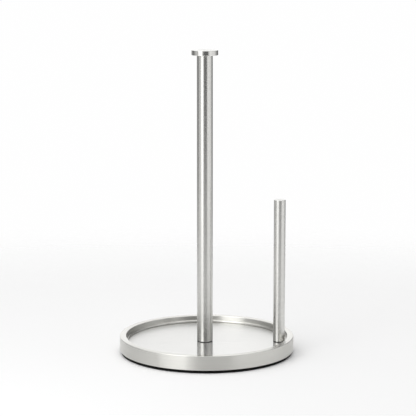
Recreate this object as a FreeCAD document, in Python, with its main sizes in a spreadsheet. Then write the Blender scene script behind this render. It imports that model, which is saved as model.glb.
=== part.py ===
import FreeCAD, Part
import math
import os
import Sketcher

# A free-standing paper towel holder: a weighted round tray with a raised rim, an upright
# post with a disc cap, and a short tear bar just inside the rim. Everything is fixed.
# Frame: origin at the centre of the base on the table, +Z up, tear bar at +X. Millimetres.

DIMENSIONS = [
    # Base: stack of round plates, from the table up
    ("base_diameter", 190, "outside of the rim's outer wall"),
    ("pad_thickness", 3.15, "black non-slip pad under the base"),
    ("pad_recess", 1.7, "pad edge inside the outer wall"),
    ("closing_thickness", 2, "plate that closes the base from below"),
    ("closing_gap", 0.3, "closing plate to the inside of the outer wall"),
    ("ballast_thickness", 4.25, "cast weight"),
    ("ballast_gap", 1, "weight to the inside of the outer wall"),
    ("floor_thickness", 2, "brushed floor of the tray"),
    ("floor_gap", 1.8, "floor plate to the inside of the outer wall"),
    # Rim, one spun sheet
    ("sheet_thickness", 1.2, "wall of the rim shell"),
    ("rim_rise", 7.3, "rim above the tray floor"),
    ("rim_land", 6.9, "width of the flat rim"),
    ("hem_reach", 2.5, "rounded hem beyond the rim's inner wall"),
    ("outer_edge_radius", 0.9, "rim's outer top edge"),
    ("inner_edge_radius", 0.5, "rim's inner top edge and the hem's root"),
    ("lower_edge_radius", 0.5, "bottom edge of the outer wall"),
    # Post
    ("total_height", 330, "table to the top of the cap"),
    ("post_offset", 1.94, "post's axis from the base's centre, away from the tear bar"),
    ("post_diameter", 17.2, "outside of the post tube"),
    ("post_wall", 1.2, "wall of the post tube"),
    ("post_plug_length", 25, "threaded plugs in the post"),
    ("cap_diameter", 28.8, "disc cap"),
    ("cap_thickness", 5.4, "disc cap"),
    ("cap_edge_radius", 0.5, "both edges of the cap"),
    # Tear bar
    ("bar_height", 168.5, "table to the top of the bar"),
    ("bar_diameter", 12.7, "outside of the tear bar tube"),
    ("bar_wall", 1, "wall of the tear bar tube"),
    ("bar_hem_gap", 0.15, "bar to the hem of the rim"),
    ("bar_plug_length", 20, "threaded plug in the bar"),
    ("end_cap_thickness", 1.5, "visible disc of the bar's end cap"),
    ("end_cap_spigot", 8, "spigot of the end cap inside the tube"),
    ("end_cap_edge_radius", 0.5, "top edge of the end cap"),
    # Feet of the post and the bar
    ("gasket_thickness", 0.8, "dark ring under each foot"),
    ("gasket_inset", 0.1, "gasket edge inside the tube's outside"),
    ("plug_clearance", 0.05, "plug or spigot to the tube's bore"),
    # Screws
    ("clamped_weight", 2, "weight left above a screw's recess"),
    ("thread_grip", 12, "screw inside its plug"),
    ("thread_spare", 3, "threaded hole beyond the screw"),
    ("thread_clearance", 0.05, "screw to the wall of its threaded hole"),
    ("hole_clearance", 0.3, "screw to the wall of a plain hole"),
    ("recess_clearance", 2, "washer to the wall of a screw's recess"),
    ("post_screw_diameter", 6, "thread of the post screw and of the cap stud"),
    ("post_head_diameter", 10.5, "button head"),
    ("post_head_height", 3.3, "button head"),
    ("post_socket", 4, "across the flats of the hexagon socket"),
    ("post_washer_diameter", 18, "wide plain washer"),
    ("post_washer_thickness", 1.6, "plain washer"),
    ("post_lock_diameter", 11.8, "split lock washer"),
    ("post_lock_thickness", 1.6, "split lock washer"),
    ("bar_screw_diameter", 5, "thread of the tear bar screw"),
    ("bar_head_diameter", 9.5, "button head"),
    ("bar_head_height", 2.75, "button head"),
    ("bar_socket", 3, "across the flats of the hexagon socket"),
    ("bar_washer_diameter", 10, "plain washer"),
    ("bar_washer_thickness", 1, "plain washer"),
    ("bar_lock_diameter", 9.2, "split lock washer"),
    ("bar_lock_thickness", 1.2, "split lock washer"),
    ("lock_slit", 1, "slit of a lock washer"),
    ("stud_in_cap", 3.4, "cap stud inside the cap"),
    ("stud_in_plug", 14, "cap stud inside the top plug"),
    ("plate_screw_diameter", 3, "countersunk screws of the closing plate"),
    ("plate_screw_head", 5.6, "countersunk head"),
    ("plate_screw_length", 5.4, "whole countersunk screw"),
    ("plate_screw_socket", 2, "across the flats of the hexagon socket"),
    ("plate_screw_circle", 120, "circle that the four screws stand on"),
]

FULL_TURN = 360
PLATE_SCREW_COUNT = 4
PLATE_SCREW_START = 45
HEXAGON_SIDES = 6
SAME = 0.001
HEM_ROUND_SHARE = 0.46
DOME_SHARE = 0.6
SOCKET_SHARE = 0.55

doc = FreeCAD.newDocument("PaperTowelHolder")
sheet = doc.addObject("Spreadsheet::Sheet", "Dimensions")


class Size:
    """A length with both its expression, for setExpression, and its present value."""

    def __init__(self, text, value):
        self.text = text
        self.value = value

    def joined(self, sign, other, value):
        return Size("(" + self.text + " " + sign + " " + other.text + ")", value)

    def __add__(self, other):
        other = as_size(other)
        return self.joined("+", other, self.value + other.value)

    def __sub__(self, other):
        other = as_size(other)
        return self.joined("-", other, self.value - other.value)

    def __mul__(self, other):
        other = as_size(other)
        return self.joined("*", other, self.value * other.value)

    def __truediv__(self, other):
        other = as_size(other)
        return self.joined("/", other, self.value / other.value)


def as_size(number):
    if isinstance(number, Size):
        return number
    return Size(repr(number), number)


def fill_sheet():
    """Write each driving dimension on its own row and return them by name."""
    sizes = {}
    for row, (name, number, meaning) in enumerate(DIMENSIONS, start=1):
        sheet.set("A" + str(row), name)
        sheet.set("B" + str(row), str(number))
        sheet.set("C" + str(row), meaning)
        sheet.setAlias("B" + str(row), name)
        sizes[name] = Size("Dimensions." + name, number)
    doc.recompute()
    return sizes


size = fill_sheet()
ZERO = as_size(0)

# Levels above the table
pad_top = size["pad_thickness"]
closing_top = pad_top + size["closing_thickness"]
ballast_top = closing_top + size["ballast_thickness"]
floor_top = ballast_top + size["floor_thickness"]
rim_top = floor_top + size["rim_rise"]
foot_top = floor_top + size["gasket_thickness"]
cap_bottom = size["total_height"] - size["cap_thickness"]
end_cap_bottom = size["bar_height"] - size["end_cap_thickness"]
bearing_level = ballast_top - size["clamped_weight"]

# Radii
base_radius = size["base_diameter"] / 2
shell_inside = base_radius - size["sheet_thickness"]
rim_inner = base_radius - size["rim_land"]
hem_nose = rim_inner - size["hem_reach"]
hem_thickness = size["sheet_thickness"] * 2
post_radius = size["post_diameter"] / 2
post_bore = post_radius - size["post_wall"]
bar_radius = size["bar_diameter"] / 2
bar_bore = bar_radius - size["bar_wall"]

# Axes of the two uprights
post_x = ZERO - size["post_offset"]
bar_x = hem_nose - size["bar_hem_gap"] - bar_radius


# Building blocks

def new_body(label, x=ZERO, z=ZERO):
    """A body named after its node, standing with its own origin at (x, 0, z)."""
    body = doc.addObject("PartDesign::Body", label)
    body.Label = label
    body.setExpression("Placement.Base.x", x.text)
    body.setExpression("Placement.Base.z", z.text)
    return body


def origin_feature(body, role):
    for feature in body.Origin.OriginFeatures:
        if feature.Role == role:
            return feature
    raise RuntimeError(body.Label + " has no " + role)


def new_sketch(body, name, level=ZERO, plane="XY_Plane"):
    """A sketch on one of the body's own planes, raised to a level along its normal."""
    sketch = body.newObject("Sketcher::SketchObject", name)
    sketch.AttachmentSupport = (origin_feature(body, plane), "")
    sketch.MapMode = "FlatFace"
    if level is not ZERO:
        sketch.setExpression("AttachmentOffset.Base.z", level.text)
    return sketch


def bind(sketch, kind, *where, to):
    """Add a dimension to the sketch and bind it to an expression."""
    index = sketch.addConstraint(Sketcher.Constraint(kind, *where, to.value))
    sketch.setExpression("Constraints[" + str(index) + "]", to.text)


def place_point(sketch, geometry, point, x, y):
    """Hold a point at (x, y) from the sketch's origin; a negative length is measured back."""
    for kind, length in (("DistanceX", x), ("DistanceY", y)):
        if length.value < 0:
            bind(sketch, kind, geometry, point, -1, 1, to=ZERO - length)
        else:
            bind(sketch, kind, -1, 1, geometry, point, to=length)


def add_circle(sketch, radius, x=ZERO, y=ZERO):
    middle = FreeCAD.Vector(x.value, y.value, 0)
    circle = Part.Circle(middle, FreeCAD.Vector(0, 0, 1), radius.value)
    index = sketch.addGeometry(circle, False)
    bind(sketch, "Radius", index, to=radius)
    if x is ZERO and y is ZERO:
        sketch.addConstraint(Sketcher.Constraint("Coincident", index, 3, -1, 1))
    else:
        place_point(sketch, index, 3, x, y)


def add_polygon(sketch, corners):
    """A closed outline through the corners, each held by its own two lengths."""
    count = len(corners)
    for here in range(count):
        start, end = corners[here], corners[(here + 1) % count]
        first = FreeCAD.Vector(start[0].value, start[1].value, 0)
        last = FreeCAD.Vector(end[0].value, end[1].value, 0)
        sketch.addGeometry(Part.LineSegment(first, last), False)
    for here in range(count):
        after = (here + 1) % count
        sketch.addConstraint(Sketcher.Constraint("Coincident", here, 2, after, 1))
    for here, (x, y) in enumerate(corners):
        place_point(sketch, here, 1, x, y)


def add_hexagon(sketch, across_flats):
    """A hexagon about the sketch's origin, with two sides along x."""
    reach = across_flats / math.sqrt(3)
    corners = []
    for side in range(HEXAGON_SIDES):
        angle = math.radians(side * FULL_TURN / HEXAGON_SIDES)
        corners.append((reach * round(math.cos(angle), 9), reach * round(math.sin(angle), 9)))
    add_polygon(sketch, corners)


def pad(body, sketch, length):
    feature = body.newObject("PartDesign::Pad", sketch.Name + "Pad")
    feature.Profile = sketch
    feature.setExpression("Length", length.text)
    doc.recompute()
    return feature


def pocket(body, sketch, depth, upward):
    """Cut the sketch into the body, up or down, and make sure that it took material away."""
    before = body.Shape.Volume
    feature = body.newObject("PartDesign::Pocket", sketch.Name + "Pocket")
    feature.Profile = sketch
    feature.Reversed = upward
    feature.setExpression("Length", depth.text)
    doc.recompute()
    if body.Shape.Volume >= before - SAME:
        raise RuntimeError(sketch.Name + " cuts nothing from " + body.Label)
    return feature


def disc(body, name, radius, length, level=ZERO, holes=()):
    """Pad a round plate; each hole is (radius, x)."""
    sketch = new_sketch(body, name, level)
    add_circle(sketch, radius)
    for hole_radius, x in holes:
        add_circle(sketch, hole_radius, x)
    return pad(body, sketch, length)


def round_hole(body, name, radius, depth, level=ZERO, upward=True, x=ZERO):
    sketch = new_sketch(body, name, level)
    add_circle(sketch, radius, x)
    return pocket(body, sketch, depth, upward)


def socket(body, name, across_flats, depth, upward=True):
    sketch = new_sketch(body, name)
    add_hexagon(sketch, across_flats)
    return pocket(body, sketch, depth, upward)


def revolve(body, sketch):
    feature = body.newObject("PartDesign::Revolution", sketch.Name + "Turn")
    feature.Profile = sketch
    feature.ReferenceAxis = (origin_feature(body, "Z_Axis"), [""])
    feature.Angle = FULL_TURN
    doc.recompute()
    return feature


def circular_edges(body, feature, circles):
    """Names of the circular edges that lie at the given (radius, level) pairs."""
    names = []
    for number, edge in enumerate(feature.Shape.Edges, start=1):
        if not isinstance(edge.Curve, Part.Circle):
            continue
        for radius, level in circles:
            same_radius = abs(edge.Curve.Radius - radius.value) < SAME
            same_level = abs(edge.Curve.Center.z - level.value) < SAME
            if same_radius and same_level:
                names.append("Edge" + str(number))
    if len(names) < len(circles):
        raise RuntimeError("too few edges found on " + body.Label)
    return names


def round_edges(body, feature, name, radius, circles):
    fillet = body.newObject("PartDesign::Fillet", name)
    fillet.Base = (feature, circular_edges(body, feature, circles))
    fillet.setExpression("Radius", radius.text)
    doc.recompute()
    return fillet


def bevel_edges(body, feature, name, width, circles):
    chamfer = body.newObject("PartDesign::Chamfer", name)
    chamfer.Base = (feature, circular_edges(body, feature, circles))
    chamfer.setExpression("Size", width.text)
    doc.recompute()
    return chamfer


# Base: floor, rim, weight, closing plate and pad

def rim_shell():
    """Outer wall, flat rim and inner wall of one spun sheet; its rounded hem sits on the floor."""
    body = new_body("rim_shell", z=pad_top)
    top = rim_top - pad_top
    hem_bottom = floor_top - pad_top
    hem_top = hem_bottom + hem_thickness
    wall_back = rim_inner + size["sheet_thickness"]
    ceiling = top - size["sheet_thickness"]
    sketch = new_sketch(body, "RimProfile", plane="XZ_Plane")
    add_polygon(sketch, [
        (base_radius, ZERO), (base_radius, top), (rim_inner, top), (rim_inner, hem_top),
        (hem_nose, hem_top), (hem_nose, hem_bottom), (wall_back, hem_bottom),
        (wall_back, ceiling), (shell_inside, ceiling), (shell_inside, ZERO),
    ])
    turned = revolve(body, sketch)
    nose = round_edges(body, turned, "HemNose", hem_thickness * HEM_ROUND_SHARE,
                       [(hem_nose, hem_top), (hem_nose, hem_bottom)])
    outer = round_edges(body, nose, "OuterEdge", size["outer_edge_radius"],
                        [(base_radius, top)])
    inner = round_edges(body, outer, "InnerEdge", size["inner_edge_radius"],
                        [(rim_inner, top), (rim_inner, hem_top)])
    round_edges(body, inner, "LowerEdge", size["lower_edge_radius"], [(base_radius, ZERO)])
    return body


def screw_holes(clearance):
    """Plain holes for the post screw and the tear bar screw."""
    return [
        (size["post_screw_diameter"] / 2 + clearance, post_x),
        (size["bar_screw_diameter"] / 2 + clearance, bar_x),
    ]


def screw_recesses():
    """Holes wide enough for the washers, through which the screws are driven."""
    return [
        (size["post_washer_diameter"] / 2 + size["recess_clearance"], post_x),
        (size["bar_washer_diameter"] / 2 + size["recess_clearance"], bar_x),
    ]


def plate_screw_spots():
    """Centres of the closing plate's screws."""
    spots = []
    for number in range(PLATE_SCREW_COUNT):
        angle = math.radians(PLATE_SCREW_START + number * FULL_TURN / PLATE_SCREW_COUNT)
        reach = size["plate_screw_circle"] / 2
        spots.append((reach * round(math.cos(angle), 9), reach * round(math.sin(angle), 9)))
    return spots


def floor_plate():
    """Round brushed plate under the hem, with one hole for each upright's screw."""
    body = new_body("floor_plate", z=ballast_top)
    disc(body, "FloorOutline", shell_inside - size["floor_gap"], size["floor_thickness"],
         holes=screw_holes(size["hole_clearance"]))
    return body


def ballast_disc():
    """Cast weight, tapped for the closing plate's screws and recessed for the two washers."""
    body = new_body("ballast_disc", z=closing_top)
    disc(body, "BallastOutline", shell_inside - size["ballast_gap"], size["ballast_thickness"],
         holes=screw_holes(size["hole_clearance"]))
    for name, (radius, x) in zip(("PostRecess", "BarRecess"), screw_recesses()):
        round_hole(body, name, radius, bearing_level - closing_top, x=x)
    tapped = new_sketch(body, "TappedHoles")
    tapped_radius = size["plate_screw_diameter"] / 2 + size["thread_clearance"]
    for x, y in plate_screw_spots():
        add_circle(tapped, tapped_radius, x, y)
    screw_inside = size["plate_screw_length"] - size["closing_thickness"]
    pocket(body, tapped, screw_inside + size["thread_clearance"], upward=True)
    return body


def closing_plate():
    """Plate that holds the weight in, countersunk for its own four screws."""
    body = new_body("closing_plate", z=pad_top)
    disc(body, "ClosingOutline", shell_inside - size["closing_gap"],
         size["closing_thickness"], holes=screw_recesses())
    drilled = new_sketch(body, "ScrewHoles")
    hole_radius = size["plate_screw_diameter"] / 2 + size["thread_clearance"]
    for x, y in plate_screw_spots():
        add_circle(drilled, hole_radius, x, y)
    holes = pocket(body, drilled, size["closing_thickness"], upward=True)
    head_overhang = (size["plate_screw_head"] - size["plate_screw_diameter"]) / 2
    bevel_edges(body, holes, "Countersinks", head_overhang, [(hole_radius, ZERO)])
    return body


def primitive(kind, name, **lengths):
    """A Part primitive whose lengths are bound to expressions."""
    solid = doc.addObject(kind, name)
    for key, length in lengths.items():
        solid.setExpression(key, length.text)
    return solid


def closing_plate_screws():
    """Four countersunk screws, flush with the closing plate and hidden by the pad."""
    shank_radius = size["plate_screw_diameter"] / 2
    head_radius = size["plate_screw_head"] / 2
    head_height = head_radius - shank_radius
    key_reach = size["plate_screw_socket"] / math.sqrt(3)
    screws = []
    for number, (x, y) in enumerate(plate_screw_spots(), start=1):
        mark = str(number)
        head = primitive("Part::Cone", "Head" + mark, Radius1=head_radius,
                         Radius2=shank_radius, Height=head_height)
        shank = primitive("Part::Cylinder", "Shank" + mark, Radius=shank_radius,
                          Height=size["plate_screw_length"])
        key = primitive("Part::Prism", "Key" + mark, Circumradius=key_reach,
                        Height=head_height)
        key.Polygon = HEXAGON_SIDES
        blank = doc.addObject("Part::Fuse", "Blank" + mark)
        blank.Base = head
        blank.Tool = shank
        screw = doc.addObject("Part::Cut", "PlateScrew" + mark)
        screw.Base = blank
        screw.Tool = key
        screw.setExpression("Placement.Base.x", x.text)
        screw.setExpression("Placement.Base.y", y.text)
        screws.append(screw)
    group = doc.addObject("Part::Compound", "closing_plate_screws")
    group.Label = "closing_plate_screws"
    group.Links = screws
    group.setExpression("Placement.Base.z", pad_top.text)
    doc.recompute()
    return group


def non_slip_pad():
    """Black foamed rubber disc, open where the two screws are driven."""
    body = new_body("non_slip_pad")
    disc(body, "PadOutline", base_radius - size["pad_recess"], size["pad_thickness"],
         holes=screw_recesses())
    return body


# Post and tear bar: both are a tube on a gasket, held by a screw from below

def gasket(label, kind, x, radius):
    """Thin dark ring between the floor and the foot of an upright."""
    body = new_body(label, x, floor_top)
    hole = size[kind + "_screw_diameter"] / 2 + size["hole_clearance"]
    disc(body, kind + "GasketOutline", radius - size["gasket_inset"],
         size["gasket_thickness"], holes=[(hole, ZERO)])
    return body


def tube(label, kind, x, radius, bore, top):
    body = new_body(label, x, foot_top)
    disc(body, kind + "TubeOutline", radius, top - foot_top, holes=[(bore, ZERO)])
    return body


def foot_plug(label, kind, x, bore):
    """Plug pressed into the tube's lower end, with a blind threaded hole from below."""
    body = new_body(label, x, foot_top)
    disc(body, kind + "PlugOutline", bore - size["plug_clearance"],
         size[kind + "_plug_length"])
    thread = size[kind + "_screw_diameter"] / 2 + size["thread_clearance"]
    round_hole(body, kind + "PlugThread", thread, size["thread_grip"] + size["thread_spare"])
    return body


def washer(label, kind, x):
    body = new_body(label, x, bearing_level - size[kind + "_washer_thickness"])
    hole = size[kind + "_screw_diameter"] / 2 + size["hole_clearance"]
    disc(body, kind + "WasherOutline", size[kind + "_washer_diameter"] / 2,
         size[kind + "_washer_thickness"], holes=[(hole, ZERO)])
    return body


def lock_level(kind):
    return bearing_level - size[kind + "_washer_thickness"] - size[kind + "_lock_thickness"]


def lock_washer(label, kind, x):
    """Split washer, pressed flat by its screw."""
    body = new_body(label, x, lock_level(kind))
    radius = size[kind + "_lock_diameter"] / 2
    hole = size[kind + "_screw_diameter"] / 2 + size["hole_clearance"]
    disc(body, kind + "LockOutline", radius, size[kind + "_lock_thickness"],
         holes=[(hole, ZERO)])
    slit = new_sketch(body, kind + "Slit")
    half = size["lock_slit"] / 2
    reach = radius + half
    low = ZERO - half
    add_polygon(slit, [(ZERO, low), (reach, low), (reach, half), (ZERO, half)])
    pocket(body, slit, size[kind + "_lock_thickness"], upward=True)
    return body


def button_screw(label, kind, x):
    """Screw with a domed head and a hexagon socket, driven from under the base."""
    head_bottom = lock_level(kind) - size[kind + "_head_height"]
    tip = foot_top + size["thread_grip"]
    body = new_body(label, x, head_bottom)
    head_radius = size[kind + "_head_diameter"] / 2
    head_height = size[kind + "_head_height"]
    head = disc(body, kind + "Head", head_radius, head_height)
    round_edges(body, head, kind + "Dome", head_height * DOME_SHARE, [(head_radius, ZERO)])
    disc(body, kind + "Shank", size[kind + "_screw_diameter"] / 2,
         tip - head_bottom - head_height, level=head_height)
    socket(body, kind + "Socket", size[kind + "_socket"], head_height * SOCKET_SHARE)
    return body


def post_top_plug():
    """Plug pressed into the tube's upper end, with a blind threaded hole from above."""
    body = new_body("post_top_plug", post_x, cap_bottom - size["post_plug_length"])
    disc(body, "TopPlugOutline", post_bore - size["plug_clearance"],
         size["post_plug_length"])
    thread = size["post_screw_diameter"] / 2 + size["thread_clearance"]
    round_hole(body, "TopPlugThread", thread, size["stud_in_plug"] + size["thread_spare"],
               level=size["post_plug_length"], upward=False)
    return body


def cap_stud():
    body = new_body("cap_stud", post_x, cap_bottom - size["stud_in_plug"])
    disc(body, "StudOutline", size["post_screw_diameter"] / 2,
         size["stud_in_plug"] + size["stud_in_cap"])
    return body


def post_cap():
    """Solid disc, small enough for a roll's core to pass, screwed on from below."""
    body = new_body("post_cap", post_x, cap_bottom)
    radius = size["cap_diameter"] / 2
    blank = disc(body, "CapOutline", radius, size["cap_thickness"])
    round_edges(body, blank, "CapEdges", size["cap_edge_radius"],
                [(radius, ZERO), (radius, size["cap_thickness"])])
    thread = size["post_screw_diameter"] / 2 + size["thread_clearance"]
    round_hole(body, "CapThread", thread, size["stud_in_cap"] + size["thread_clearance"])
    return body


def tear_bar_end_cap():
    """Disc flush with the tube, on a spigot pressed into it."""
    body = new_body("tear_bar_end_cap", bar_x, end_cap_bottom)
    blank = disc(body, "EndCapOutline", bar_radius, size["end_cap_thickness"])
    round_edges(body, blank, "EndCapEdge", size["end_cap_edge_radius"],
                [(bar_radius, size["end_cap_thickness"])])
    spigot = new_sketch(body, "Spigot")
    add_circle(spigot, bar_bore - size["plug_clearance"])
    downward = pad(body, spigot, size["end_cap_spigot"])
    downward.Reversed = True
    doc.recompute()
    return body


def upright(name, kind, x, radius, bore, top):
    """The six pieces that both uprights have."""
    return [
        tube(name + "_tube", kind, x, radius, bore, top),
        gasket(name + "_gasket", kind, x, radius),
        foot_plug(name + "_foot_plug", kind, x, bore),
        button_screw(name + "_screw", kind, x),
        washer(name + "_washer", kind, x),
        lock_washer(name + "_lock_washer", kind, x),
    ]


def check_document(parts):
    """Stop if any object failed, or if a sub-part has no sound shape."""
    for item in doc.Objects:
        if "Invalid" in item.State or "Error" in item.State:
            raise RuntimeError(item.Label + " failed: " + str(item.State))
    for part in parts:
        if part.Shape.isNull() or not part.Shape.isValid():
            raise RuntimeError(part.Label + " has no valid shape")


parts = [
    floor_plate(), rim_shell(), ballast_disc(), closing_plate(), closing_plate_screws(),
    non_slip_pad(),
]
parts += upright("post", "post", post_x, post_radius, post_bore, cap_bottom)
parts += [post_top_plug(), cap_stud(), post_cap()]
parts += upright("tear_bar", "bar", bar_x, bar_radius, bar_bore, end_cap_bottom)
parts += [tear_bar_end_cap()]

doc.recompute()
check_document(parts)

os.makedirs("parts", exist_ok=True)
for part in parts:
    part.Shape.exportStep("parts/" + part.Label + ".step")
    box = part.Shape.BoundBox
    solids = len(part.Shape.Solids)
    print("%-22s %d solid(s) %8.0f mm3  z %7.2f to %7.2f"
          % (part.Label, solids, part.Shape.Volume, box.ZMin, box.ZMax))
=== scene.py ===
import math

import bpy
import numpy as np
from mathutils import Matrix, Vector


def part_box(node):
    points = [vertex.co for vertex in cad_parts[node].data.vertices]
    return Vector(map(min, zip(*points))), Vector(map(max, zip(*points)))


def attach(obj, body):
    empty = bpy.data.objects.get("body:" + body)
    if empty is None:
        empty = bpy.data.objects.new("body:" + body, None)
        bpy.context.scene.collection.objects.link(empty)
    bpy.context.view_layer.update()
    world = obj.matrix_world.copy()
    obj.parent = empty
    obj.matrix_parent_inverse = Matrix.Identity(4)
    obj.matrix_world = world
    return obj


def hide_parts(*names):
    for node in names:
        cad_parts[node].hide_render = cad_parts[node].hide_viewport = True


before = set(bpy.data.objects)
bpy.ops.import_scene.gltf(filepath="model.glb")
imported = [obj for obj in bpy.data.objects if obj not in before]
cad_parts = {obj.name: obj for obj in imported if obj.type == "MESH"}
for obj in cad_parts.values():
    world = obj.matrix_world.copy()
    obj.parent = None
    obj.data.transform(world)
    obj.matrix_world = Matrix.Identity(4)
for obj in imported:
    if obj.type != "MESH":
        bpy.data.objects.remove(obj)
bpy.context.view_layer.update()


# ---------------------------------------------------------------------------
# Camera: a long lens a little under two metres in front of the holder and not
# quite half a metre above the table, looking slightly down at the post.
# ---------------------------------------------------------------------------
EYE = Vector((0.0395, -1.8213, 0.4738))
AIM = Vector((0.0015, 0.0, 0.1592))
LENS_MM = 147.8
NEAREST_SEEN = 0.05
FARTHEST_SEEN = 60.0

camera_data = bpy.data.cameras.new("camera")
camera_data.lens = LENS_MM
camera_data.clip_start = NEAREST_SEEN
camera_data.clip_end = FARTHEST_SEEN
camera = bpy.data.objects.new("camera", camera_data)
camera.location = EYE
camera.rotation_mode = "QUATERNION"
camera.rotation_quaternion = (AIM - EYE).to_track_quat("-Z", "Y")
bpy.context.scene.collection.objects.link(camera)
bpy.context.scene.camera = camera
bpy.context.scene.view_settings.view_transform = "Standard"


# ---------------------------------------------------------------------------
# Studio: a white table under a large overhead softbox, in a light tent. A tall
# bright panel stands at the front left and draws the light stripe on every tube;
# the open, unlit front of the tent draws the dark stripe beside it.
# ---------------------------------------------------------------------------
def add_node(tree, kind, **settings):
    """Put a node of this kind in the tree and set its own properties."""
    made = tree.nodes.new(kind)
    for key, value in settings.items():
        setattr(made, key, value)
    return made


def wire(tree, source, target):
    """Link an output socket to an input socket, or write a plain value into it."""
    if isinstance(source, bpy.types.NodeSocket):
        tree.links.new(source, target)
    else:
        target.default_value = source


def fill(tree, made, values):
    """Wire values into the first sockets of a node, in order."""
    for socket, value in zip(made.inputs, values):
        wire(tree, value, socket)


def maths(tree, operation, *values):
    """One operation on numbers."""
    made = add_node(tree, "ShaderNodeMath", operation=operation)
    fill(tree, made, values)
    return made.outputs[0]


def vector_maths(tree, operation, *values):
    """One operation on vectors, which gives a vector, or a number for a length."""
    made = add_node(tree, "ShaderNodeVectorMath", operation=operation)
    fill(tree, made, values)
    return made.outputs["Value" if operation == "LENGTH" else "Vector"]


def carried(tree, value, low, high, at_low=0.0, at_high=1.0, kind="LINEAR"):
    """A value carried from the range low to high into at_low to at_high, held at its ends."""
    made = add_node(tree, "ShaderNodeMapRange", interpolation_type=kind)
    fill(tree, made, (value, low, high, at_low, at_high))
    return made.outputs[0]


def mixed(tree, share, first, second):
    """The first number where the share is 0 or less, the second where it is 1 or more."""
    made = add_node(tree, "ShaderNodeMix", clamp_factor=True)
    wire(tree, share, made.inputs["Factor"])
    wire(tree, first, made.inputs["A"])
    wire(tree, second, made.inputs["B"])
    return made.outputs[0]


# The tent's brightness by bearing in degrees, from 0 at the front to 90 at the right:
# level with the table, one zone up and two zones up. The ceiling is three zones up.
WALL_LOW = ((-180, 1.35), (-150, 0.49), (-110, 0.18), (-75, 0.80), (-58, 0.33), (-41, 0.76),
            (-24, 1.34), (-8, 0.11), (8, 0.08), (27, 0.09), (44, 1.25), (90, 1.04),
            (135, 0.16), (162, 0.25), (180, 1.35))
WALL_MIDDLE = ((-180, 1.22), (-140, 0.25), (-75, 0.31), (-41, 1.65), (-8, 0.22), (24, 0.20),
               (90, 0.27), (128, 0.42), (150, 0.20), (165, 0.22), (180, 1.22))
WALL_HIGH = ((-180, 0.80), (-90, 2.10), (0, 0.35), (90, 1.25), (180, 0.80))
CEILING = 1.94
BRIGHTEST = 3.0
ZONE_DEGREES = 30.0
ROOM_TO_CAMERA = 0.995


def around_the_room(tree, bearing, stops):
    """Brightness by bearing: straight lines between the stops, which close up at the back.

    A colour ramp holds values up to 1, so the stops are divided by the brightest value
    and the ramp's result is multiplied by it.
    """
    made = add_node(tree, "ShaderNodeValToRGB")
    elements = made.color_ramp.elements
    while len(elements) < len(stops):
        elements.new(0.5)
    for element, (degrees, brightness) in zip(elements, stops):
        element.position = (degrees + 180.0) / 360.0
        element.color = (brightness / BRIGHTEST,) * 3 + (1.0,)
    wire(tree, bearing, made.inputs["Fac"])
    return maths(tree, "MULTIPLY", made.outputs["Color"], BRIGHTEST)


room = bpy.data.worlds.new("white_room")
room.use_nodes = True
bpy.context.scene.world = room
room_tree = room.node_tree
room_tree.nodes.clear()
outward = add_node(room_tree, "ShaderNodeSeparateXYZ")
wire(room_tree, add_node(room_tree, "ShaderNodeTexCoord").outputs["Generated"], outward.inputs[0])
toward_front = maths(room_tree, "MULTIPLY", outward.outputs["Y"], -1.0)
turn = maths(room_tree, "ARCTAN2", outward.outputs["X"], toward_front)
bearing = maths(room_tree, "MULTIPLY_ADD", turn, 0.5 / math.pi, 0.5)
rise = maths(room_tree, "ARCSINE", outward.outputs["Z"])
zones_up = maths(room_tree, "DIVIDE", rise, math.radians(ZONE_DEGREES))
light = around_the_room(room_tree, bearing, WALL_LOW)
light = mixed(room_tree, zones_up, light, around_the_room(room_tree, bearing, WALL_MIDDLE))
light = mixed(room_tree, maths(room_tree, "SUBTRACT", zones_up, 1.0), light,
              around_the_room(room_tree, bearing, WALL_HIGH))
light = mixed(room_tree, maths(room_tree, "SUBTRACT", zones_up, 2.0), light, CEILING)
seen = add_node(room_tree, "ShaderNodeLightPath").outputs["Is Camera Ray"]
background = add_node(room_tree, "ShaderNodeBackground")
background.inputs["Color"].default_value = (1.0, 1.0, 1.0, 1.0)
wire(room_tree, mixed(room_tree, seen, light, ROOM_TO_CAMERA), background.inputs["Strength"])
room_output = add_node(room_tree, "ShaderNodeOutputWorld")
wire(room_tree, background.outputs[0], room_output.inputs["Surface"])

FLOOR_HALF = 1.6
FLOOR_GAP = 0.0001
FLOOR_WHITE = 0.97
FLOOR_FADE_FROM = 0.42
FLOOR_FADE_TO = 1.15
FLOOR_SHORTER_BEHIND = 1.5
floor_mesh = bpy.data.meshes.new("studio_floor")
floor_mesh.from_pydata(
    [(side_x * FLOOR_HALF, side_y * FLOOR_HALF, -FLOOR_GAP)
     for side_x, side_y in ((-1, -1), (1, -1), (1, 1), (-1, 1))], [], [(0, 1, 2, 3)])
studio_floor = bpy.data.objects.new("studio_floor", floor_mesh)
bpy.context.scene.collection.objects.link(studio_floor)

# The table fades into the white room with distance, and sooner behind the holder.
sweep = bpy.data.materials.new("white_sweep")
sweep.use_nodes = True
sweep_tree = sweep.node_tree
sweep_tree.nodes.clear()
place = add_node(sweep_tree, "ShaderNodeSeparateXYZ")
wire(sweep_tree, add_node(sweep_tree, "ShaderNodeTexCoord").outputs["Object"], place.inputs[0])
behind = maths(sweep_tree, "MULTIPLY", place.outputs["Y"], FLOOR_SHORTER_BEHIND)
before = maths(sweep_tree, "MULTIPLY", place.outputs["Y"], -1.0)
reach = add_node(sweep_tree, "ShaderNodeCombineXYZ")
wire(sweep_tree, place.outputs["X"], reach.inputs["X"])
wire(sweep_tree, maths(sweep_tree, "MAXIMUM", behind, before), reach.inputs["Y"])
distance = vector_maths(sweep_tree, "LENGTH", reach.outputs[0])
paper = add_node(sweep_tree, "ShaderNodeBsdfDiffuse")
paper.inputs["Color"].default_value = (FLOOR_WHITE, FLOOR_WHITE, FLOOR_WHITE, 1.0)
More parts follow.
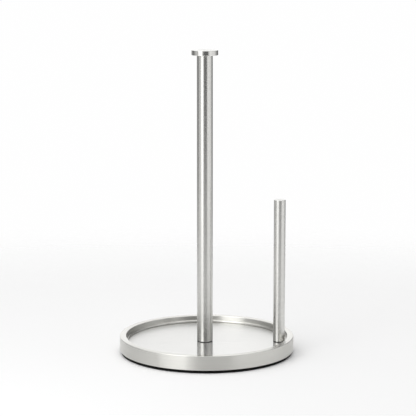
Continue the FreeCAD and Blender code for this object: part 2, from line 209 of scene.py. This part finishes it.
clear = add_node(sweep_tree, "ShaderNodeBsdfTransparent")
faded = add_node(sweep_tree, "ShaderNodeMixShader")
wire(sweep_tree, carried(sweep_tree, distance, FLOOR_FADE_FROM, FLOOR_FADE_TO, kind="SMOOTHSTEP"),
     faded.inputs[0])
wire(sweep_tree, paper.outputs[0], faded.inputs[1])
wire(sweep_tree, clear.outputs[0], faded.inputs[2])
sweep_output = add_node(sweep_tree, "ShaderNodeOutputMaterial")
wire(sweep_tree, faded.outputs[0], sweep_output.inputs["Surface"])
floor_mesh.materials.append(sweep)

OVERHEAD_HEIGHT = 1.9
OVERHEAD_SIDE = 1.4
OVERHEAD_WATTS = 2.2
overhead_data = bpy.data.lights.new("overhead_softbox", "AREA")
overhead_data.shape = "SQUARE"
overhead_data.size = OVERHEAD_SIDE
overhead_data.energy = OVERHEAD_WATTS
overhead = bpy.data.objects.new("overhead_softbox", overhead_data)
overhead.location = (0.0, 0.0, OVERHEAD_HEIGHT)
bpy.context.scene.collection.objects.link(overhead)

PANEL_BEARING = math.radians(-41.0)
PANEL_DISTANCE = 0.62
PANEL_MIDDLE = 0.39
PANEL_SIZE = (0.40, 0.75)
PANEL_WATTS = 0.82
panel_data = bpy.data.lights.new("front_left_panel", "AREA")
panel_data.shape = "RECTANGLE"
panel_data.size, panel_data.size_y = PANEL_SIZE
panel_data.energy = PANEL_WATTS
panel = bpy.data.objects.new("front_left_panel", panel_data)
panel.location = (math.sin(PANEL_BEARING) * PANEL_DISTANCE,
                  -math.cos(PANEL_BEARING) * PANEL_DISTANCE, PANEL_MIDDLE)
panel.rotation_mode = "QUATERNION"
panel_aim = Vector((0.0, 0.0, PANEL_MIDDLE)) - panel.location
panel.rotation_quaternion = panel_aim.to_track_quat("-Z", "Y")
panel.visible_camera = False
bpy.context.scene.collection.objects.link(panel)


# ---------------------------------------------------------------------------
# Rim: outer wall, flat top and inner wall of the base, spun from one sheet of
# stainless steel. Its inner edge is folded under into a round hem that stands
# on the tray floor. Brushed round the axis with a fine belt.
# ---------------------------------------------------------------------------
DEGREES_PER_STEP = 9.0
FEWEST_STEPS = 3
# Shape of the edge mark, which drives real polish and a painted highlight on rounded edges.
EDGE_POLISH_AND_HIGHLIGHT_FALLOFF = 0.4


def rounded_outline(corners, closed=True):
    """Outline in (distance from the axis, height) with every corner rounded by an arc.

    A corner is (distance, height, arc radius). Material lies to the left of the path. The
    tangent turns evenly through each arc, the normal is the tangent turned a quarter to the
    right, and the arc's point is its centre plus or minus the normal times the radius.
    An open outline keeps its two ends as they are. Returns the points, the normals and an
    edge mark: 1 in the middle of an arc that turns outwards, 0 at its ends and elsewhere.
    """
    places = np.array([corner[:2] for corner in corners], float)
    radii = [corner[2] for corner in corners]
    count = len(corners)
    points, normals, marks = [], [], []
    for here in range(count):
        if not closed and here in (0, count - 1):
            step = places[1] - places[0] if here == 0 else places[-1] - places[-2]
            step /= np.linalg.norm(step)
            points.append(places[here][None])
            normals.append(np.array([[step[1], -step[0]]]))
            marks.append(np.zeros(1))
            continue
        arrive = places[here] - places[here - 1]
        leave = places[(here + 1) % count] - places[here]
        arrive /= np.linalg.norm(arrive)
        leave /= np.linalg.norm(leave)
        bend = math.atan2(arrive[0] * leave[1] - arrive[1] * leave[0], arrive @ leave)
        steps = max(FEWEST_STEPS, math.ceil(abs(bend) / math.radians(DEGREES_PER_STEP)))
        along = np.linspace(0.0, 1.0, steps + 1)
        heading = math.atan2(arrive[1], arrive[0]) + bend * along
        normal = np.stack([np.sin(heading), -np.cos(heading)], axis=1)
        start = places[here] - arrive * radii[here] * math.tan(abs(bend) / 2)
        side = math.copysign(1.0, bend)
        centre = start - side * radii[here] * normal[0]
        points.append(centre + side * radii[here] * normal)
        normals.append(normal)
        # The edge mark drives real polish (a smoother roughness) and a painted highlight (a
        # lighter colour) on rounded edges.
        hump = np.sin(math.pi * along).clip(0.0) ** EDGE_POLISH_AND_HIGHLIGHT_FALLOFF
        marks.append(hump * (side > 0))
    return np.concatenate(points), np.concatenate(normals), np.concatenate(marks)


def turned(name, outline, axis_x, around, closed=True):
    """Carry an outline round a vertical axis: at angle v its point (r, z) lies at
    (axis_x + r cos v, r sin v, z), and its normal (a, b) becomes (a cos v, a sin v, b).

    An open outline starts and ends on the axis, where fans of triangles close it. The
    attribute "edge" carries the outline's edge marks, and "level" is the square of the
    normal's upward part: 1 on a flat top, 0 on a wall and on an underside.
    """
    points, normals, marks = outline
    angle = np.linspace(0.0, 2 * math.pi, around, endpoint=False)
    turn_x, turn_y = np.cos(angle), np.sin(angle)
    rows = len(points) if closed else len(points) - 2
    inner = slice(None) if closed else slice(1, -1)
    radius, height = points[inner, 0], points[inner, 1]
    places = np.stack([axis_x + np.outer(radius, turn_x), np.outer(radius, turn_y),
                       np.repeat(height[:, None], around, 1)], axis=2).reshape(-1, 3)
    facing = np.stack([np.outer(normals[inner, 0], turn_x), np.outer(normals[inner, 0], turn_y),
                       np.repeat(normals[inner, 1][:, None], around, 1)], axis=2).reshape(-1, 3)
    edge_polish_and_highlight = np.repeat(marks[inner], around)
    level = np.clip(facing[:, 2], 0.0, 1.0) ** 2
    last_row = rows if closed else rows - 1
    u, v = np.meshgrid(np.arange(last_row), np.arange(around), indexing="ij")
    up, on = (u + 1) % rows, (v + 1) % around
    quads = np.stack([u * around + v, u * around + on, up * around + on, up * around + v], axis=2)
    faces = quads.reshape(-1, 4).tolist()
    if not closed:
        ring = np.arange(around)
        after = (ring + 1) % around
        first, last = rows * around, rows * around + 1
        top = (rows - 1) * around
        faces += np.stack([np.full(around, first), after, ring], axis=1).tolist()
        faces += np.stack([np.full(around, last), top + ring, top + after], axis=1).tolist()
        ends = [[axis_x, 0.0, points[0, 1]], [axis_x, 0.0, points[-1, 1]]]
        places = np.concatenate([places, ends])
        facing = np.concatenate([facing, [[0, 0, normals[0, 1]], [0, 0, normals[-1, 1]]]])
        edge_polish_and_highlight = np.concatenate([edge_polish_and_highlight, [0.0, 0.0]])
        level = np.concatenate([level, np.clip([normals[0, 1], normals[-1, 1]], 0.0, 1.0)])
    mesh = bpy.data.meshes.new(name)
    mesh.from_pydata(places.tolist(), [], faces)
    mesh.shade_smooth()
    mesh.normals_split_custom_set_from_vertices(facing.tolist())
    for label, values in (("edge", edge_polish_and_highlight), ("level", level)):
        mask = mesh.attributes.new(label, "FLOAT", "POINT")
        mask.data.foreach_set("value", values.astype(np.float32))
    piece = bpy.data.objects.new(name, mesh)
    bpy.context.scene.collection.objects.link(piece)
    return piece


def new_group(name, inputs, outputs):
    """A shader node group with float inputs, given with their values, and float outputs."""
    group = bpy.data.node_groups.new(name, "ShaderNodeTree")
    for label, value in inputs.items():
        socket = group.interface.new_socket(label, in_out="INPUT", socket_type="NodeSocketFloat")
        socket.default_value = value
    for label in outputs:
        group.interface.new_socket(label, in_out="OUTPUT", socket_type="NodeSocketFloat")
    return group, add_node(group, "NodeGroupInput"), add_node(group, "NodeGroupOutput")


def noise(tree, where, scale, detail, **settings):
    """A noise texture at a place: scale is its cells per metre, detail its finer layers."""
    made = add_node(tree, "ShaderNodeTexNoise", **settings)
    wire(tree, where, made.inputs["Vector"])
    wire(tree, scale, made.inputs["Scale"])
    wire(tree, detail, made.inputs["Detail"])
    return made


LINE_DETAIL = 3.0
CLOUD_DETAIL = 2.0
TURNED_CLOUDS_PER_METRE = 22.0


def turned_brushing_group():
    """Fine lines that run round a vertical axis: noise that changes quickly across the
    lines, by distance from the axis and by height, and slowly along them."""
    group, entry, leave = new_group(
        "turned_brushing",
        {"Axis X": 0.0, "Lines per metre": 1400.0, "Breaks per metre": 14.0}, ["Lines", "Clouds"])
    where = add_node(group, "ShaderNodeTexCoord").outputs["Object"]
    axis = add_node(group, "ShaderNodeCombineXYZ")
    wire(group, entry.outputs["Axis X"], axis.inputs["X"])
    local = vector_maths(group, "SUBTRACT", where, axis.outputs[0])
    flat = vector_maths(group, "MULTIPLY", local, (1.0, 1.0, 0.0))
    split = add_node(group, "ShaderNodeSeparateXYZ")
    wire(group, local, split.inputs[0])
    radius = vector_maths(group, "LENGTH", flat)
    density, breaks = entry.outputs["Lines per metre"], entry.outputs["Breaks per metre"]
    across = add_node(group, "ShaderNodeCombineXYZ")
    wire(group, maths(group, "MULTIPLY", radius, density), across.inputs["X"])
    wire(group, maths(group, "MULTIPLY", split.outputs["Z"], density), across.inputs["Y"])
    wire(group, maths(group, "MULTIPLY", split.outputs["X"], breaks), across.inputs["Z"])
    lines = noise(group, across.outputs[0], 1.0, LINE_DETAIL, noise_dimensions="4D")
    wire(group, maths(group, "MULTIPLY", split.outputs["Y"], breaks), lines.inputs["W"])
    clouds = noise(group, local, TURNED_CLOUDS_PER_METRE, CLOUD_DETAIL)
    wire(group, lines.outputs[0], leave.inputs["Lines"])
    wire(group, clouds.outputs[0], leave.inputs["Clouds"])
    return group


def shaded(tree, color, factor):
    """A colour made lighter or darker by a factor that varies over the surface."""
    made = add_node(tree, "ShaderNodeVectorMath", operation="SCALE")
    wire(tree, color, made.inputs[0])
    wire(tree, factor, made.inputs["Scale"])
    return made.outputs["Vector"]


def raised(tree, height, strength, depth):
    """The normal of a surface whose height varies by up to depth metres."""
    made = add_node(tree, "ShaderNodeBump")
    made.inputs["Strength"].default_value = strength
    made.inputs["Distance"].default_value = depth
    wire(tree, height, made.inputs["Height"])
    return made.outputs[0]


LINE_SPAN = (0.25, 0.75)
LINE_TONE = (0.97, 1.02)
LINE_ROUGHNESS = (1.12, 0.9)
LINE_STRENGTH = 0.12
LINE_DEPTH = 0.00002
MOTTLE_SPAN = (0.3, 0.7)
CLOUD_TONE = (0.985, 1.015)
# Painted highlight: how much lighter the colour of rounded edges is made.
EDGE_PAINTED_HIGHLIGHT = 0.04
EDGE_SMOOTHER = 0.6
LEVEL_ROUGHNESS = 0.2
SMOOTHEST = 0.08


def brushed_steel(name, color, roughness, stretch, brushing, settings, axis_x=None, edges=True):
    """Brushed stainless steel: the brushing group shades its colour, roughness and height,
    rounded edges and level tops are smoother, rounded edges also carry a painted highlight
    that makes their colour lighter, and reflections stretch across the lines.

    The lines run round the vertical axis at axis_x, where each tangent is the cross product
    of the way round and the normal, or along X where no axis is given. Pieces without the
    attributes "edge" and "level" have edges=False.
    """
    steel = bpy.data.materials.new(name)
    steel.use_nodes = True
    tree = steel.node_tree
    shader = tree.nodes["Principled BSDF"]
    shader.inputs["Metallic"].default_value = 1.0
    shader.inputs["Anisotropic"].default_value = stretch
    brushed = add_node(tree, "ShaderNodeGroup", node_tree=brushing)
    for label, value in settings.items():
        brushed.inputs[label].default_value = value
    lines, clouds = brushed.outputs["Lines"], brushed.outputs["Clouds"]
    line_tone = carried(tree, lines, *LINE_SPAN, *LINE_TONE)
    cloud_tone = carried(tree, clouds, *MOTTLE_SPAN, *CLOUD_TONE)
    tone = maths(tree, "MULTIPLY", line_tone, cloud_tone)
    rough = carried(tree, lines, *LINE_SPAN, *(roughness * factor for factor in LINE_ROUGHNESS))
    if edges:
        edge_polish_and_highlight = add_node(tree, "ShaderNodeAttribute", attribute_name="edge").outputs["Fac"]
        # Painted highlight: rounded edges get a lighter colour; the smoother roughness below is
        # real polish.
        tone = maths(tree, "ADD", tone, maths(tree, "MULTIPLY", edge_polish_and_highlight, EDGE_PAINTED_HIGHLIGHT))
        rubbed = maths(tree, "MULTIPLY", edge_polish_and_highlight, roughness * EDGE_SMOOTHER)
        rough = maths(tree, "SUBTRACT", rough, rubbed)
        level = add_node(tree, "ShaderNodeAttribute", attribute_name="level").outputs["Fac"]
        finer = maths(tree, "MULTIPLY", level, roughness - LEVEL_ROUGHNESS)
        rough = maths(tree, "MAXIMUM", maths(tree, "SUBTRACT", rough, finer), SMOOTHEST)
    wire(tree, shaded(tree, color, tone), shader.inputs["Base Color"])
    wire(tree, rough, shader.inputs["Roughness"])
    wire(tree, raised(tree, lines, LINE_STRENGTH, LINE_DEPTH), shader.inputs["Normal"])
    if axis_x is None:
        straight = add_node(tree, "ShaderNodeCombineXYZ")
        straight.inputs["Y"].default_value = 1.0
        wire(tree, straight.outputs[0], shader.inputs["Tangent"])
    else:
        where = add_node(tree, "ShaderNodeTexCoord").outputs["Object"]
        from_axis = vector_maths(tree, "SUBTRACT", where, (axis_x, 0.0, 0.0))
        along = vector_maths(tree, "CROSS_PRODUCT", from_axis, (0.0, 0.0, 1.0))
        facing = add_node(tree, "ShaderNodeNewGeometry").outputs["Normal"]
        wire(tree, vector_maths(tree, "CROSS_PRODUCT", along, facing), shader.inputs["Tangent"])
    return steel


TURNED_BRUSHING = turned_brushing_group()
RIM_STEEL = (0.71, 0.704, 0.67)
RIM_ROUGHNESS = 0.33
RIM_STRETCH = 1.0
RIM_AROUND = 288
SHEET = 0.0012
RIM_LAND = 0.0069
RIM_EDGE = 0.0005
FOLD_INSIDE = 0.0003
CUT_EDGE = 0.0001
HEM_REACH = 0.0025
HEM_ARC = 0.00115

rim_low, rim_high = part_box("rim_shell")
rim_radius = max(rim_high.x, rim_high.y)
floor_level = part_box("floor_plate")[1].z
rim_inner = rim_radius - RIM_LAND
hem_top = floor_level + 2 * SHEET
rim = turned("rim", rounded_outline([
    (rim_radius, rim_low.z, RIM_EDGE),
    (rim_radius, rim_high.z, RIM_EDGE),
    (rim_inner, rim_high.z, RIM_EDGE),
    (rim_inner, hem_top, RIM_EDGE),
    (rim_inner - HEM_REACH, hem_top, HEM_ARC),
    (rim_inner - HEM_REACH, floor_level, HEM_ARC),
    (rim_inner + SHEET, floor_level, CUT_EDGE),
    (rim_inner + SHEET, rim_high.z - SHEET, FOLD_INSIDE),
    (rim_radius - SHEET, rim_high.z - SHEET, FOLD_INSIDE),
    (rim_radius - SHEET, rim_low.z, CUT_EDGE),
]), 0.0, RIM_AROUND)
rim.data.materials.append(brushed_steel(
    "rim_brushed_steel", RIM_STEEL, RIM_ROUGHNESS, RIM_STRETCH, TURNED_BRUSHING, {}, axis_x=0.0))
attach(rim, "root")
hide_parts("rim_shell")


# ---------------------------------------------------------------------------
# Tray floor: a flat disc of stainless sheet under the hem, brushed in straight
# lines from side to side with a finer belt, so that it mirrors the two feet.
# ---------------------------------------------------------------------------
STRAIGHT_CLOUDS_PER_METRE = 18.0
TRAY_STEEL = (0.79, 0.787, 0.772)
TRAY_ROUGHNESS = 0.22
TRAY_STRETCH = 1.0


def straight_brushing_group():
    """Fine straight lines along X: noise that changes quickly along Y and slowly along X."""
    group, entry, leave = new_group(
        "straight_brushing",
        {"Lines per metre": 1600.0, "Breaks per metre": 12.0}, ["Lines", "Clouds"])
    where = add_node(group, "ShaderNodeTexCoord").outputs["Object"]
    split = add_node(group, "ShaderNodeSeparateXYZ")
    wire(group, where, split.inputs[0])
    density, breaks = entry.outputs["Lines per metre"], entry.outputs["Breaks per metre"]
    across = add_node(group, "ShaderNodeCombineXYZ")
    wire(group, maths(group, "MULTIPLY", split.outputs["X"], breaks), across.inputs["X"])
    wire(group, maths(group, "MULTIPLY", split.outputs["Y"], density), across.inputs["Y"])
    wire(group, maths(group, "MULTIPLY", split.outputs["Z"], density), across.inputs["Z"])
    lines = noise(group, across.outputs[0], 1.0, LINE_DETAIL)
    clouds = noise(group, where, STRAIGHT_CLOUDS_PER_METRE, CLOUD_DETAIL)
    wire(group, lines.outputs[0], leave.inputs["Lines"])
    wire(group, clouds.outputs[0], leave.inputs["Clouds"])
    return group


def give(node_name, material):
    """Give a CAD node that keeps its own mesh a finished material."""
    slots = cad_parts[node_name].data.materials
    slots.clear()
    slots.append(material)


give("floor_plate", brushed_steel(
    "tray_brushed_steel", TRAY_STEEL, TRAY_ROUGHNESS, TRAY_STRETCH, straight_brushing_group(), {},
    edges=False))


# ---------------------------------------------------------------------------
# Post: a stainless tube, cut square, its ends just broken with a file, polished
# round and round on a belt so that its lines circle the tube.
# ---------------------------------------------------------------------------
STEEL = (0.68, 0.676, 0.654)
TUBE_ROUGHNESS = 0.25
TUBE_STRETCH = 0.95
TUBE_LINES_PER_METRE = 1700.0
END_BREAK = 0.00025
BORE_BREAK = 0.0001
POST_WALL = 0.0012
POST_AROUND = 144
POST_BREAKS_PER_METRE = 60.0


def tube(name, node_name, wall, axis_x, around):
    """A tube as wide and as high as its CAD node: a rectangle one wall thick, its outer
    corners and its bore's corners rounded, turned round the tube's axis."""
    low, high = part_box(node_name)
    radius = (high.x - low.x) / 2
    return turned(name, rounded_outline([
        (radius, low.z, END_BREAK),
        (radius, high.z, END_BREAK),
        (radius - wall, high.z, BORE_BREAK),
        (radius - wall, low.z, BORE_BREAK),
    ]), axis_x, around)


post_low, post_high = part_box("post_tube")
post_x = (post_low.x + post_high.x) / 2
post = tube("post", "post_tube", POST_WALL, post_x, POST_AROUND)
post_lines = {"Axis X": post_x, "Lines per metre": TUBE_LINES_PER_METRE,
              "Breaks per metre": POST_BREAKS_PER_METRE}
post.data.materials.append(brushed_steel(
    "post_brushed_steel", STEEL, TUBE_ROUGHNESS, TUBE_STRETCH, TURNED_BRUSHING, post_lines,
    axis_x=post_x))
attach(post, "root")
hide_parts("post_tube")


# ---------------------------------------------------------------------------
# Post cap: a solid stainless disc with both edges rounded, faced and brushed in
# a lathe and screwed on the post by a hidden stud.
# ---------------------------------------------------------------------------
CAP_EDGE = 0.0005
CAP_ROUGHNESS = 0.22
CAP_AROUND = 160
CAP_LINES_PER_METRE = 1800.0
CAP_BREAKS_PER_METRE = 50.0

cap_low, cap_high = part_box("post_cap")
cap_radius = (cap_high.x - cap_low.x) / 2
cap = turned("cap", rounded_outline([
    (0.0, cap_low.z, 0.0),
    (cap_radius, cap_low.z, CAP_EDGE),
    (cap_radius, cap_high.z, CAP_EDGE),
    (0.0, cap_high.z, 0.0),
], closed=False), post_x, CAP_AROUND, closed=False)
cap_lines = {"Axis X": post_x, "Lines per metre": CAP_LINES_PER_METRE,
             "Breaks per metre": CAP_BREAKS_PER_METRE}
cap.data.materials.append(brushed_steel(
    "cap_brushed_steel", STEEL, CAP_ROUGHNESS, TUBE_STRETCH, TURNED_BRUSHING, cap_lines,
    axis_x=post_x))
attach(cap, "root")
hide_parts("post_cap")


# ---------------------------------------------------------------------------
# Tear bar: half-inch stainless tube, finished like the post, closed at the top
# by a pressed-in end cap with a rounded edge.
# ---------------------------------------------------------------------------
BAR_WALL = 0.001
BAR_AROUND = 128
BAR_BREAKS_PER_METRE = 70.0

bar_low, bar_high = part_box("tear_bar_tube")
bar_x = (bar_low.x + bar_high.x) / 2
bar = tube("tear_bar", "tear_bar_tube", BAR_WALL, bar_x, BAR_AROUND)
bar_lines = {"Axis X": bar_x, "Lines per metre": TUBE_LINES_PER_METRE,
             "Breaks per metre": BAR_BREAKS_PER_METRE}
bar_steel = brushed_steel(
    "bar_brushed_steel", STEEL, TUBE_ROUGHNESS, TUBE_STRETCH, TURNED_BRUSHING, bar_lines,
    axis_x=bar_x)
bar.data.materials.append(bar_steel)
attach(bar, "root")
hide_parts("tear_bar_tube")

SPIGOT_RADIUS = 0.0053
SPIGOT_EDGE = 0.0004
END_CAP_DISC = 0.0015
END_CAP_EDGE = 0.0005
END_CAP_CORNER = 0.0001

end_low, end_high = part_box("tear_bar_end_cap")
end_radius = (end_high.x - end_low.x) / 2
end_disc_low = end_high.z - END_CAP_DISC
end_cap = turned("tear_bar_end", rounded_outline([
    (0.0, end_low.z, 0.0),
    (SPIGOT_RADIUS, end_low.z, SPIGOT_EDGE),
    (SPIGOT_RADIUS, end_disc_low, END_CAP_CORNER),
    (end_radius, end_disc_low, END_CAP_CORNER),
    (end_radius, end_high.z, END_CAP_EDGE),
    (0.0, end_high.z, 0.0),
], closed=False), bar_x, BAR_AROUND, closed=False)
end_cap.data.materials.append(bar_steel)
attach(end_cap, "root")
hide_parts("tear_bar_end_cap")


# ---------------------------------------------------------------------------
# Foot gaskets: thin black rings punched from rubber sheet, which keep the tubes
# from biting into the tray floor and show as a dark line under each.
# ---------------------------------------------------------------------------
RUBBER_GLOSS = 0.2
RUBBER_DETAIL = 4.0
RUBBER_TONE = (0.7, 1.3)
RUBBER_SWING = 0.08
RUBBER_STRENGTH = 0.6


def black_rubber(name, color, roughness, grain_per_metre, grain_depth):
    """Matt black rubber with a fine, uneven skin, all from one noise."""
    rubber = bpy.data.materials.new(name)
    rubber.use_nodes = True
    tree = rubber.node_tree
    shader = tree.nodes["Principled BSDF"]
    shader.inputs["Specular IOR Level"].default_value = RUBBER_GLOSS
    where = add_node(tree, "ShaderNodeTexCoord").outputs["Object"]
    grain = noise(tree, where, grain_per_metre, RUBBER_DETAIL).outputs[0]
    tone = carried(tree, grain, *MOTTLE_SPAN, *RUBBER_TONE)
    rough = carried(tree, grain, *MOTTLE_SPAN, roughness + RUBBER_SWING, roughness - RUBBER_SWING)
    wire(tree, shaded(tree, color, tone), shader.inputs["Base Color"])
    wire(tree, rough, shader.inputs["Roughness"])
    wire(tree, raised(tree, grain, RUBBER_STRENGTH, grain_depth), shader.inputs["Normal"])
    return rubber


GASKET_AROUND = 96
GASKET_ROUNDING = 0.3
POST_GASKET_BORE = 0.0033
BAR_GASKET_BORE = 0.0028
gasket_rubber = black_rubber(
    "gasket_rubber", (0.018, 0.018, 0.018), roughness=0.6, grain_per_metre=1500.0,
    grain_depth=0.00003)


def gasket(name, node_name, bore, axis_x):
    """A flat ring as wide and as thick as its CAD node: a rectangle from the bore to the
    outside, its corners rounded by a share of its thickness, turned round the axis."""
    low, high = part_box(node_name)
    radius = (high.x - low.x) / 2
    edge = (high.z - low.z) * GASKET_ROUNDING
    ring = turned(name, rounded_outline([
        (radius, low.z, edge),
        (radius, high.z, edge),
        (bore, high.z, edge),
        (bore, low.z, edge),
    ]), axis_x, GASKET_AROUND)
    ring.data.materials.append(gasket_rubber)
    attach(ring, "root")
    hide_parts(node_name)


gasket("post_foot_ring", "post_gasket", POST_GASKET_BORE, post_x)
gasket("tear_bar_foot_ring", "tear_bar_gasket", BAR_GASKET_BORE, bar_x)


# ---------------------------------------------------------------------------
# Non-slip pad: foamed black rubber glued under the base, with two holes through
# which the screws of the post and of the bar are driven.
# ---------------------------------------------------------------------------
pad_rubber = black_rubber(
    "pad_rubber", (0.005, 0.005, 0.005), roughness=0.85, grain_per_metre=900.0,
    grain_depth=0.0001)
give("non_slip_pad", pad_rubber)


# ---------------------------------------------------------------------------
# Inside the base: the cast weight, the plate that closes it, and the screws and
# washers. Only what lies in the two screw recesses shows, from below.
# ---------------------------------------------------------------------------
METAL_DETAIL = 5.0
METAL_SWING = 0.1
METAL_STRENGTH = 0.4
METAL_DEPTH = 0.00005


def plain_metal(name, color, roughness, metallic, grain_per_metre, contrast):
    """Unpolished metal: mottled colour, roughness and height from one noise."""
    metal = bpy.data.materials.new(name)
    metal.use_nodes = True
    tree = metal.node_tree
    shader = tree.nodes["Principled BSDF"]
    shader.inputs["Metallic"].default_value = metallic
    where = add_node(tree, "ShaderNodeTexCoord").outputs["Object"]
    mottle = noise(tree, where, grain_per_metre, METAL_DETAIL).outputs[0]
    tone = carried(tree, mottle, *MOTTLE_SPAN, 1.0 - contrast, 1.0 + contrast)
    rough = carried(tree, mottle, *MOTTLE_SPAN, roughness + METAL_SWING, roughness - METAL_SWING)
    wire(tree, shaded(tree, color, tone), shader.inputs["Base Color"])
    wire(tree, rough, shader.inputs["Roughness"])
    wire(tree, raised(tree, mottle, METAL_STRENGTH, METAL_DEPTH), shader.inputs["Normal"])
    return metal


cast_iron = plain_metal(
    "cast_iron", (0.10, 0.10, 0.10), roughness=0.75, metallic=0.6, grain_per_metre=700.0,
    contrast=0.3)
rolled_steel = plain_metal(
    "rolled_steel", (0.50, 0.50, 0.49), roughness=0.42, metallic=1.0, grain_per_metre=260.0,
    contrast=0.08)
plated_zinc = plain_metal(
    "plated_zinc", (0.60, 0.61, 0.62), roughness=0.34, metallic=1.0, grain_per_metre=420.0,
    contrast=0.1)
machined_steel = plain_metal(
    "machined_steel", (0.56, 0.56, 0.55), roughness=0.3, metallic=1.0, grain_per_metre=500.0,
    contrast=0.06)

give("ballast_disc", cast_iron)
give("closing_plate", rolled_steel)
for fastener in ("closing_plate_screws", "post_screw", "post_washer", "post_lock_washer",
                 "cap_stud", "tear_bar_screw", "tear_bar_washer", "tear_bar_lock_washer"):
    give(fastener, plated_zinc)
for plug in ("post_foot_plug", "post_top_plug", "tear_bar_foot_plug"):
    give(plug, machined_steel)
